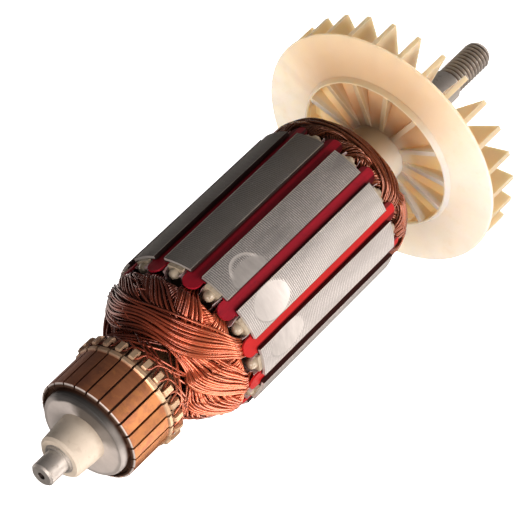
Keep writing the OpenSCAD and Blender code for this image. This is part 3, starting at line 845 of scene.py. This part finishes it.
def slot_papers(name, look):
    """The ends of the folded paper that lines each slot, torn a little where they stand out."""
    rng = np.random.default_rng(PAPER_SEED)
    work = bmesh.new()
    down = np.linspace(PAPER_TOP, PAPER_FLOOR, PAPER_POINTS)
    up = np.linspace(PAPER_FLOOR, PAPER_TOP, PAPER_POINTS)
    fold = np.concatenate([down, up])
    side = np.concatenate([-np.ones(PAPER_POINTS), np.ones(PAPER_POINTS)])
    half = fold * math.sin(SLOT_STEP / 2) - TOOTH_HALF - PAPER_GAP
    for slot in range(SLOTS):
        turn = slot_turn + slot * SLOT_STEP
        for face, way in ((core_front, -1), (core_back, 1)):
            torn = PAPER_OUT + rng.normal(0, PAPER_TORN, len(fold)) + PAPER_UNEVEN * rng.uniform(-1, 1)
            rows = []
            for reach in (np.full(len(fold), -PAPER_IN), torn * 0.55, torn):
                flare = np.where(reach > 0, PAPER_FLARE * reach ** 2, 0)
                x = face + way * reach
                y = side * (half + flare)
                turned_y = fold * math.cos(turn) - y * math.sin(turn)
                turned_z = fold * math.sin(turn) + y * math.cos(turn)
                row = np.stack([x, turned_y, turned_z], axis=1) * MM
                rows.append([work.verts.new(place) for place in row.tolist()])
            for low, high in zip(rows, rows[1:]):
                for i in range(len(fold) - 1):
                    work.faces.new((low[i], low[i + 1], high[i + 1], high[i]))
    bmesh.ops.recalc_face_normals(work, faces=work.faces)
    bmesh.ops.solidify(work, geom=work.faces, thickness=PAPER_T * MM)
    bmesh.ops.recalc_face_normals(work, faces=work.faces)
    mesh = ordered_mesh(name, work)
    work.free()
    mesh.materials.append(look)
    return new_object(name, mesh)


piece = slot_papers("slot_papers", lilac_paper)
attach(piece, "root")


# ---------------------------------------------------------------- shaft with its thread
SHAFT_SIDES = 64
SHARP = math.radians(28)
GROOVE_START = 0.88   # share of a pitch, from the crest, where the groove's flank starts
FLANK = 0.72          # and the share that the flank takes
RUN_IN = 0.8          # length over which the groove reaches its full depth


def turned(name, profile, sides, look):
    """A closed piece turned about the shaft.

    profile runs from axis to axis. Each entry is x and a radius there, or x and one radius for every side.
    """
    angles = np.arange(sides) / sides * 2 * math.pi
    verts, faces = [(profile[0][0], 0, 0)], []
    for x, r in profile[1:-1]:
        ring = np.broadcast_to(r, (sides,))
        verts.extend((x, ring[i] * math.cos(a), ring[i] * math.sin(a)) for i, a in enumerate(angles))
    verts.append((profile[-1][0], 0, 0))
    rings = len(profile) - 2
    for i in range(sides):
        j = (i + 1) % sides
        faces.append((0, 1 + i, 1 + j))
        for row in range(rings - 1):
            at = 1 + row * sides
            faces.append((at + i, at + sides + i, at + sides + j, at + j))
        at = 1 + (rings - 1) * sides
        faces.append((at + i, len(verts) - 1, at + j))
    mesh = bpy.data.meshes.new(name)
    mesh.from_pydata((np.array(verts) * MM).tolist(), [], faces)
    mesh.shade_smooth()
    mesh.set_sharp_from_angle(angle=SHARP)
    mesh.materials.append(look)
    return new_object(name, mesh)


def thread_rows(sides, per_turn=14):
    """Rows of the helical groove from the thread's start to the tip's chamfer."""
    angles = np.arange(sides) / sides
    rows = []
    end = shaft_tip - TIP_CHAMFER
    for x in np.arange(thread_start + 0.05, shaft_tip - 0.02, THREAD_PITCH / per_turn):
        phase = np.abs(2 * ((x / THREAD_PITCH - angles) % 1) - 1)
        cut = np.clip((GROOVE_START - phase) / FLANK, 0, 1) * ramp(x, thread_start, thread_start + RUN_IN)
        top = THREAD_R - max(0, x - end) * CHAMFER_SLOPE
        rows.append((x, np.minimum(top, THREAD_R - THREAD_DEPTH * cut)))
    return rows


shaft_profile = [
    (tail_x + CENTRE_DEPTH, 0), (tail_x, CENTRE_R), (tail_x, TAIL_R - EDGE), (tail_x + EDGE, TAIL_R),
    (-tail_x, TAIL_R), (-tail_x, COLLAR_R), (COLLAR_END, COLLAR_R), (COLLAR_END, SEAT_R),
    (disc_front, SEAT_R), (disc_front, BODY_R), (DRIVE_X, BODY_R), (DRIVE_X, DRIVE_R),
    (DRIVE_END, DRIVE_R), (DRIVE_END, PINION_R), (thread_start - THREAD_NECK, PINION_R),
    (thread_start, THREAD_R),
    *thread_rows(SHAFT_SIDES), (shaft_tip, THREAD_R - TIP_CHAMFER * CHAMFER_SLOPE), (shaft_tip, CENTRE_R),
    (shaft_tip - CENTRE_DEPTH, 0)]
piece = turned("shaft_threaded", shaft_profile, SHAFT_SIDES, shaft_steel)
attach(piece, "root")
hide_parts("shaft")


# ---------------------------------------------------------------- stage and lights, in metres
def glowing(name, colour, rough, glow):
    """A plain material that also glows with its own colour."""
    mat = bpy.data.materials.new(name)
    mat.use_nodes = True
    shader = mat.node_tree.nodes["Principled BSDF"]
    shader.inputs["Base Color"].default_value = (*colour, 1)
    shader.inputs["Roughness"].default_value = rough
    shader.inputs["Emission Color"].default_value = (*colour, 1)
    shader.inputs["Emission Strength"].default_value = glow
    return mat


FLOOR_Z = -0.16
FLOOR_HALF = 4.0
corners = [(-FLOOR_HALF, -FLOOR_HALF, FLOOR_Z), (FLOOR_HALF, -FLOOR_HALF, FLOOR_Z),
           (FLOOR_HALF, FLOOR_HALF, FLOOR_Z), (-FLOOR_HALF, FLOOR_HALF, FLOOR_Z)]
floor_mesh = bpy.data.meshes.new("floor")
floor_mesh.from_pydata(corners, [], [(0, 1, 2, 3)])
floor_mesh.materials.append(glowing("floor_white", (1, 1, 1), rough=0.9, glow=1.1))
floor = new_object("floor", floor_mesh)
floor.visible_diffuse = False
floor.visible_glossy = False

world = bpy.data.worlds.new("studio")
bpy.context.scene.world = world
world.use_nodes = True
background = world.node_tree.nodes["Background"]
background.inputs["Color"].default_value = (1.0, 0.92, 0.88, 1)
background.inputs["Strength"].default_value = 0.10
bpy.context.scene.view_settings.view_transform = "Standard"


def aim(thing, place, direction):
    """Puts a lamp or the camera at a place, looking along a direction."""
    thing.location = place
    thing.rotation_euler = Vector(direction).to_track_quat("-Z", "Y").to_euler()


def soft_light(name, place, target, size, power, colour):
    light = bpy.data.lights.new(name, "AREA")
    light.shape = "RECTANGLE"
    light.size, light.size_y = size
    light.energy = power
    light.color = colour
    lamp = new_object(name, light)
    aim(lamp, place, Vector(target) - Vector(place))
    return lamp


def only_for(lamp, shown):
    """Lets a lamp light one node alone."""
    lit = bpy.data.collections.new(lamp.name + "_lit")
    lit.objects.link(shown)
    lamp.light_linking.receiver_collection = lit


PART_MIDDLE = (0.065, 0, 0)
FAN_MIDDLE = (0.10, 0, 0)
WARM = (1.0, 0.88, 0.81)
SOFT_WARM = (1.0, 0.92, 0.86)
soft_light("key", (0.00, -0.86, 0.22), PART_MIDDLE, size=(0.9, 0.6), power=8.6, colour=WARM)
soft_light("front", (-0.90, -0.26, 0.16), PART_MIDDLE, size=(0.6, 0.5), power=5.6, colour=WARM)
soft_light("rim", (0.10, -0.60, -0.60), PART_MIDDLE, size=(0.8, 0.5), power=5.0, colour=WARM)
soft_light("fill", (0.05, 0.85, -0.28), PART_MIDDLE, size=(0.8, 0.5), power=1.5, colour=WARM)
soft_light("back", (0.60, 0.06, -0.14), FAN_MIDDLE, size=(0.7, 0.7), power=4.0, colour=SOFT_WARM)
for_fan = soft_light("fan_front", (-0.78, 0.16, 0.20), FAN_MIDDLE, size=(0.7, 0.7), power=9.0,
                     colour=SOFT_WARM)
only_for(for_fan, nodes["fan"])


# ---------------------------------------------------------------- camera
LENS_MM = 205.9
SENSOR_MM = 36
CLIP_END = 20
CAMERA_PLACE = (-0.2422, -0.2335, 0.4226)
CAMERA_AIM = (0.53471, 0.40968, -0.73909)
camera_data = bpy.data.cameras.new("camera")
camera_data.lens = LENS_MM
camera_data.sensor_width = SENSOR_MM
camera_data.clip_end = CLIP_END
camera = new_object("camera", camera_data)
aim(camera, CAMERA_PLACE, CAMERA_AIM)
bpy.context.scene.camera = camera
